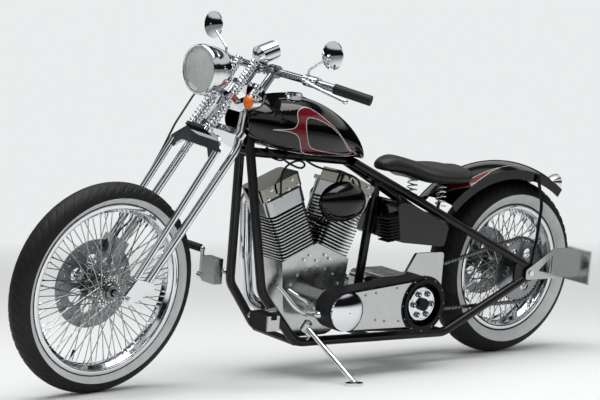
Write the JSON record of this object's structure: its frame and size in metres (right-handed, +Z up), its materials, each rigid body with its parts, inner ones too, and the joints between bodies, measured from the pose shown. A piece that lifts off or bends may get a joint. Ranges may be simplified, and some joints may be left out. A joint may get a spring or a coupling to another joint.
{
  "type": "chopper motorcycle",
  "caption": "Rigid-frame chopper with a raked spring fork, wire wheels, finned V-twin, open belt primary, sprung saddle and side stand.",
  "frame": {"origin": "on the floor, below the centre of the parked machine's bounding box", "axes": "+X from the front wheel to the rear wheel, +Y to the rider's right, +Z up from the floor; the machine leans to -Y on its side stand"},
  "size_m": [2.4187, 0.847, 1.2449],
  "materials": {
    "tyre": "whitewall tyre rubber, black with a pale wall band",
    "chrome": "polished chrome",
    "polished_aluminium": "polished aluminium",
    "brushed_aluminium": "satin aluminium",
    "steel": "ground steel",
    "spoked_chrome": "chromed rim and spokes",
    "black_frame": "gloss black powder coat",
    "tank_paint": "deep black lacquer with a dark red panel",
    "fender_paint": "deep black lacquer with a dark red wedge",
    "black_cover": "gloss black cover",
    "black_alloy": "black anodised aluminium",
    "belt_rubber": "black toothed belt",
    "grip_rubber": "matt black rubber",
    "seat_leather": "black stitched leather",
    "chain_steel": "oiled chain steel",
    "lamp_glass": "clear headlamp glass",
    "amber_lens": "amber lens",
    "red_lens": "red lens",
    "plate_metal": "blank plate, light grey"
  },
  "bodies": {
    "frame": {"rear_axle": "steel", "drive_chain": "chain_steel", "gearbox_sprocket": "steel", "frame": "black_frame", "engine_case": "polished_aluminium", "front_cylinder": "brushed_aluminium", "rear_cylinder": "brushed_aluminium", "rocker_covers": "chrome", "gearbox": "polished_aluminium", "motor_plate": "polished_aluminium", "front_pulley": "chrome", "primary_belt": "belt_rubber", "clutch": "black_alloy", "belt_guard": "brushed_aluminium", "air_cleaner": "chrome", "horn_cover": "black_cover", "exhaust_pipes": "chrome", "fuel_tank": "tank_paint", "tank_cap": "chrome", "oil_tank": "black_cover", "seat": "seat_leather", "seat_springs": "chrome", "rear_fender": "fender_paint", "fender_struts": "steel", "tail_light": "chrome", "tail_lens": "red_lens", "plate_bracket": "polished_aluminium", "number_plate": "plate_metal", "left_foot_control": "polished_aluminium", "right_foot_control": "polished_aluminium", "stand_bracket": "chrome", "rear_caliper": "brushed_aluminium", "pushrod_tubes": "chrome", "regulator": "black_alloy", "foot_pegs": "grip_rubber"},
    "fork": {"rigid_fork": "chrome", "sprung_fork": "chrome", "fork_springs": "chrome", "fork_rockers": "chrome", "front_axle": "steel", "front_caliper": "brushed_aluminium", "headlight": "chrome", "headlight_lens": "lamp_glass", "turn_signals": "chrome", "signal_lenses": "amber_lens", "handlebar": "chrome", "grips": "grip_rubber", "levers": "chrome", "mirrors": "chrome", "speedometer": "chrome", "front_brake_hose": "grip_rubber"},
    "front_wheel": {"front_tyre": "tyre", "front_wheel": "spoked_chrome", "front_disc": "steel"},
    "rear_wheel": {"rear_tyre": "tyre", "rear_wheel": "spoked_chrome", "rear_disc": "steel", "rear_sprocket": "steel"},
    "stand": {"side_stand": "chrome"}
  },
  "joints": [
    {"name": "steering", "type": "hinge", "parent": "frame", "child": "fork", "pos_m": [-0.39373, 0.02883, 0.80393], "axis": [0.6091, -0.1048, 0.7861], "range_deg": [-37.7, 22.3]},
    {"name": "front_wheel_spin", "type": "hinge", "parent": "fork", "child": "front_wheel", "pos_m": [-0.87177, 0.07807, 0.33821], "axis": [-0.1064, 0.9715, 0.212], "continuous": true},
    {"name": "rear_wheel_spin", "type": "hinge", "parent": "frame", "child": "rear_wheel", "pos_m": [0.87157, 0.09231, 0.32981], "axis": [-0.0002, 0.9912, 0.1323], "continuous": true},
    {"name": "stand", "type": "hinge", "parent": "frame", "child": "stand", "pos_m": [-0.15023, -0.03693, 0.17805], "axis": [0.1303, -0.5975, 0.7912], "range_deg": [0, 71.4]}
  ]
}
